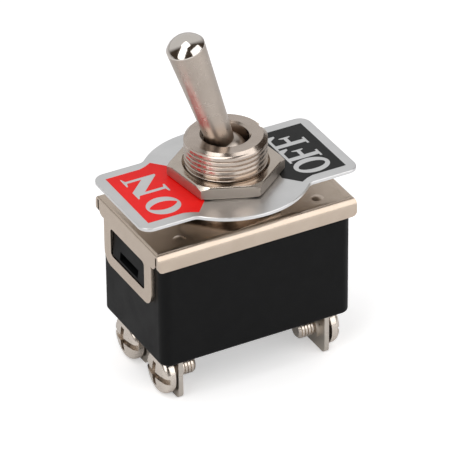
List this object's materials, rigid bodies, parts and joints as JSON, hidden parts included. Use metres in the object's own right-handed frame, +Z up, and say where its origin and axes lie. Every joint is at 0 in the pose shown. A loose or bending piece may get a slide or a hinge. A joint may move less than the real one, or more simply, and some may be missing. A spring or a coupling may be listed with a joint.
{
  "type": "panel toggle switch",
  "caption": "Panel toggle switch: bat lever in a threaded bushing, folded steel frame on a moulded housing, ON and OFF plate, screw terminals below.",
  "frame": {"origin": "on the bushing's axis, in the plane of the steel frame's top face", "axes": "+Z up the bushing towards the lever, X along the frame's length with the ON end at -X, Y across the frame"},
  "size_m": [0.0348, 0.0244, 0.0542],
  "materials": {
    "nickel_plated_steel": "nickel plated, semi-bright",
    "nickel_plated_brass": "nickel plated, bright",
    "lever_nickel": "nickel plated, bright turned",
    "screw_nickel": "nickel plated, bright",
    "plate_aluminium": "anodised, printed fields",
    "black_phenolic": "satin moulded",
    "insulator": "moulded",
    "steel": "plain",
    "contact_copper": "stamped",
    "contact_silver": "silver"
  },
  "bodies": {
    "root": {"frame": "nickel_plated_steel", "housing": "black_phenolic", "bushing": "nickel_plated_brass", "back_nut": "nickel_plated_brass", "toothed_washer": "nickel_plated_steel", "name_plate": "plate_aluminium", "panel_nut": "nickel_plated_brass", "common_terminal_front": "nickel_plated_brass", "fixed_terminal_front": "nickel_plated_brass", "fixed_contact_front": "contact_silver", "common_terminal_back": "nickel_plated_brass", "fixed_terminal_back": "nickel_plated_brass", "fixed_contact_back": "contact_silver"},
    "lever": {"lever": "lever_nickel", "pivot_pin": "steel", "carriage": "insulator", "plunger_spring_front": "steel", "plunger_spring_back": "steel"},
    "plunger_front": {"plunger_front": "steel"},
    "rocker_front": {"rocker_front": "contact_copper", "moving_contact_front": "contact_silver"},
    "plunger_back": {"plunger_back": "steel"},
    "rocker_back": {"rocker_back": "contact_copper", "moving_contact_back": "contact_silver"},
    "common_terminal_screw_front": {"common_terminal_screw_front": "screw_nickel"},
    "common_terminal_screw_back": {"common_terminal_screw_back": "screw_nickel"},
    "fixed_terminal_screw_front": {"fixed_terminal_screw_front": "screw_nickel"},
    "fixed_terminal_screw_back": {"fixed_terminal_screw_back": "screw_nickel"}
  },
  "joints": [
    {"name": "lever_swing", "type": "hinge", "parent": "root", "child": "lever", "pos_m": [0, 0, 0.0071], "axis": [0, 1, 0], "range_deg": [0, 35.8]},
    {"name": "plunger_slide_front", "type": "slide", "parent": "lever", "child": "plunger_front", "axis": [-0.3074, 0, 0.9516], "range_m": [0, 0.0008], "stiffness_N_per_m": 100, "springref_m": -0.002, "deforming": ["plunger_spring_front"]},
    {"name": "rocker_swing_front", "type": "hinge", "parent": "root", "child": "rocker_front", "pos_m": [0, -0.005, -0.01555], "axis": [0, 1, 0], "range_deg": [-18, 0]},
    {"name": "plunger_slide_back", "type": "slide", "parent": "lever", "child": "plunger_back", "axis": [-0.3074, 0, 0.9516], "range_m": [0, 0.0008], "stiffness_N_per_m": 100, "springref_m": -0.002, "deforming": ["plunger_spring_back"]},
    {"name": "rocker_swing_back", "type": "hinge", "parent": "root", "child": "rocker_back", "pos_m": [0, 0.005, -0.01555], "axis": [0, 1, 0], "range_deg": [-18, 0]},
    {"name": "common_terminal_screw_front_turn", "type": "hinge", "parent": "root", "child": "common_terminal_screw_front", "pos_m": [-0.01235, -0.005, -0.0228], "axis": [-1, 0, 0], "continuous": true},
    {"name": "common_terminal_screw_back_turn", "type": "hinge", "parent": "root", "child": "common_terminal_screw_back", "pos_m": [-0.01235, 0.005, -0.0228], "axis": [-1, 0, 0], "continuous": true},
    {"name": "fixed_terminal_screw_front_turn", "type": "hinge", "parent": "root", "child": "fixed_terminal_screw_front", "pos_m": [0.01235, -0.005, -0.0228], "axis": [1, 0, 0], "continuous": true},
    {"name": "fixed_terminal_screw_back_turn", "type": "hinge", "parent": "root", "child": "fixed_terminal_screw_back", "pos_m": [0.01235, 0.005, -0.0228], "axis": [1, 0, 0], "continuous": true}
  ],
  "couplings": [
    {"joint": "rocker_swing_front", "follows": "lever_swing", "ratio": -0.5027},
    {"joint": "rocker_swing_back", "follows": "lever_swing", "ratio": -0.5027}
  ]
}
